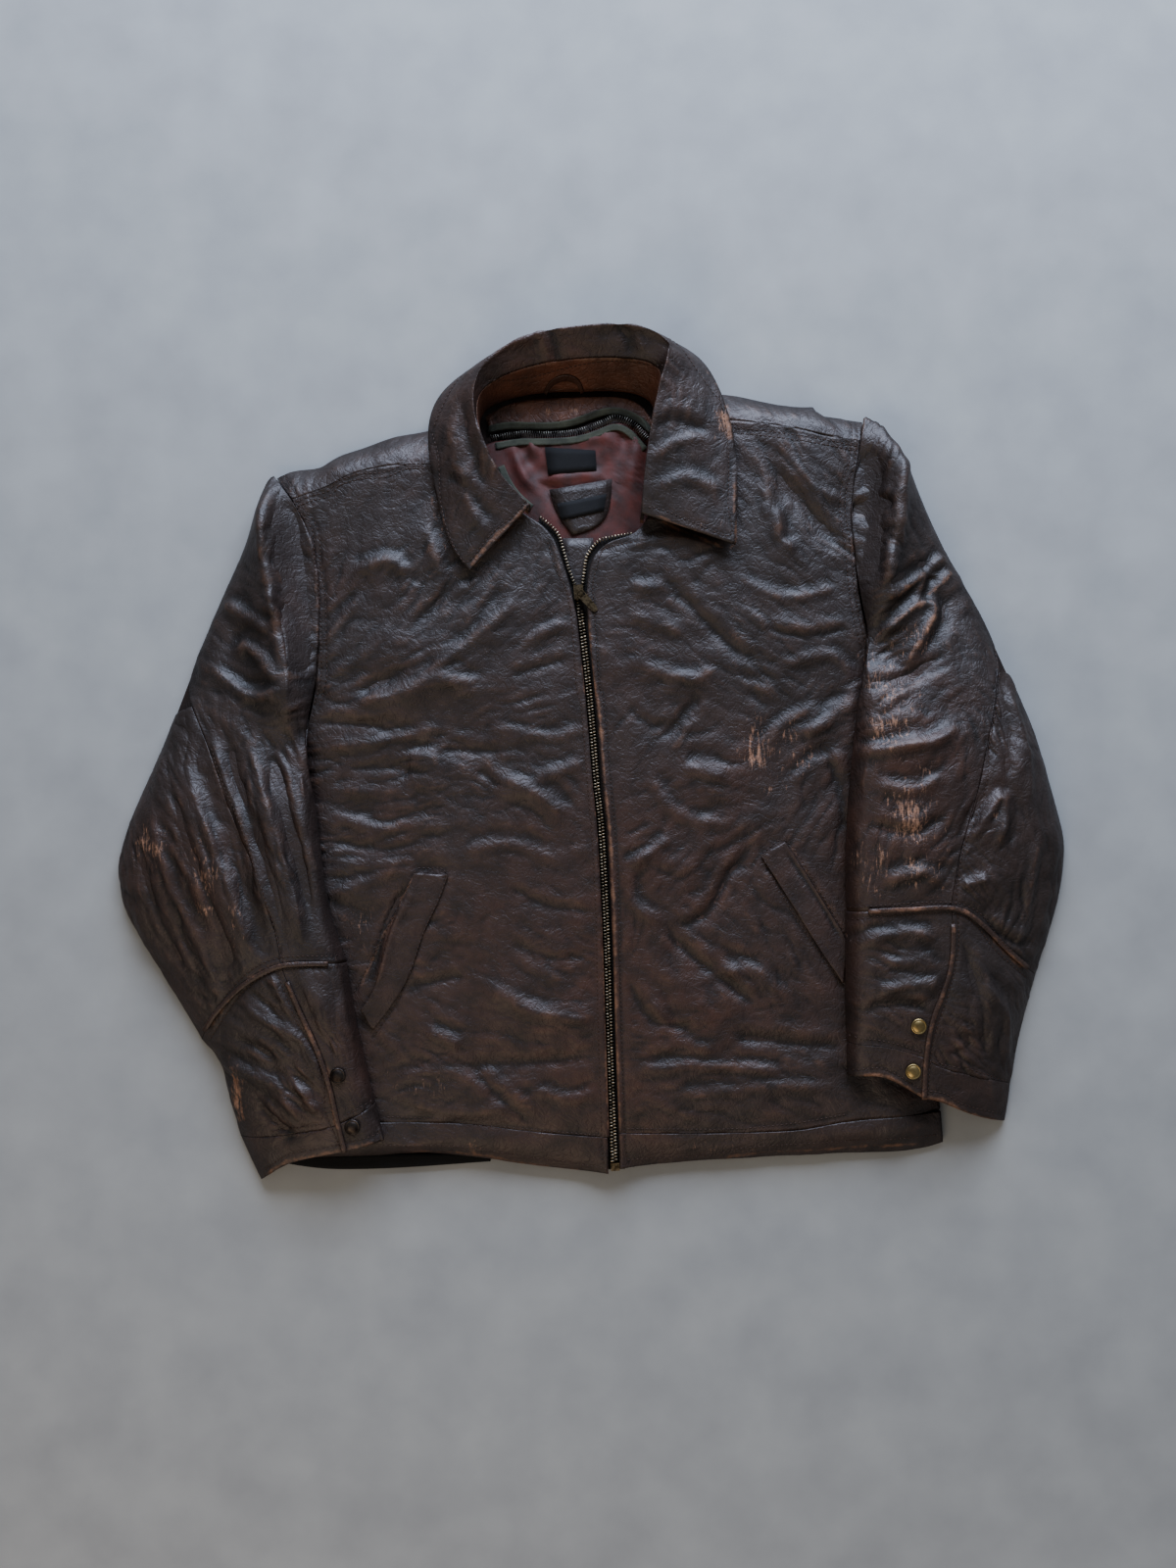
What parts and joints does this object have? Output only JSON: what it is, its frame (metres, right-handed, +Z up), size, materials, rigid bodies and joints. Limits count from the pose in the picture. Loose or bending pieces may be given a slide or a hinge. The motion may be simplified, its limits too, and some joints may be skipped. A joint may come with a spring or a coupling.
{
  "type": "leather zip jacket laid flat",
  "caption": "Worn dark leather zip jacket lying on its back, sleeves down its sides, collar folded over, slanting welt pockets, snap cuffs and a maroon zip-in liner in the open neck.",
  "frame": {"origin": "On the ground under the middle of the laid jacket's box.", "axes": "+Z up, off the ground. +Y to the collar. -X is the wearer's right side, so +X is to the right in a view from above with the collar at the top."},
  "size_m": [0.8648, 0.7774, 0.0573],
  "materials": {
    "leather_dark": "semi-gloss, worn",
    "leather_worn": "matte where the finish has rubbed off",
    "nylon_maroon": "satin",
    "pile_black": "matte",
    "tape_dark": "matte",
    "tape_green": "matte",
    "woven_black": "satin",
    "brass_old": "dull",
    "snap_dark": "dull"
  },
  "bodies": {
    "jacket": {"back": "leather_dark", "collar_fall": "leather_dark", "collar_stand": "leather_dark", "hanger_loop": "leather_dark", "label_patch": "leather_dark", "left_cuff_inner": "leather_dark", "left_cuff_outer": "leather_dark", "left_elbow_piping": "leather_worn", "left_forearm_inner": "leather_dark", "left_forearm_outer": "leather_dark", "left_front": "leather_dark", "left_hem_band": "leather_dark", "left_liner_front": "nylon_maroon", "left_placket_piping": "leather_worn", "left_pocket_welt": "leather_dark", "left_shoulder_strip": "leather_dark", "left_sleeve_outer": "leather_dark", "left_sleeve_top": "leather_dark", "left_sleeve_under": "leather_dark", "left_snap_1": "brass_old", "left_snap_2": "brass_old", "left_zip_tape": "tape_dark", "left_zip_teeth": "brass_old", "liner_back": "nylon_maroon", "liner_pile_edge": "pile_black", "liner_tape_front": "tape_green", "liner_tape_lower": "tape_green", "liner_tape_upper": "tape_green", "liner_zip_teeth": "tape_dark", "neck_facing": "leather_worn", "patch_label": "woven_black", "right_cuff_inner": "leather_dark", "right_cuff_outer": "leather_dark", "right_elbow_piping": "leather_worn", "right_forearm_inner": "leather_dark", "right_forearm_outer": "leather_dark", "right_front": "leather_dark", "right_hem_band": "leather_dark", "right_liner_front": "nylon_maroon", "right_placket_piping": "leather_worn", "right_pocket_welt": "leather_dark", "right_shoulder_strip": "leather_dark", "right_sleeve_outer": "leather_dark", "right_sleeve_top": "leather_dark", "right_sleeve_under": "leather_dark", "right_snap_1": "snap_dark", "right_snap_2": "snap_dark", "right_zip_tape": "tape_dark", "right_zip_teeth": "brass_old", "small_label": "woven_black", "wind_flap": "leather_dark", "zip_box": "brass_old", "zip_slider": "brass_old"},
    "tab": {"pull_tab": "brass_old"}
  },
  "joints": [
    {"name": "tab_hinge", "type": "hinge", "parent": "jacket", "child": "tab", "pos_m": [-0.01125, 0.14705, 0.02482], "axis": [-0.7431, -0.6691, 0], "range_deg": [0, 150]}
  ]
}
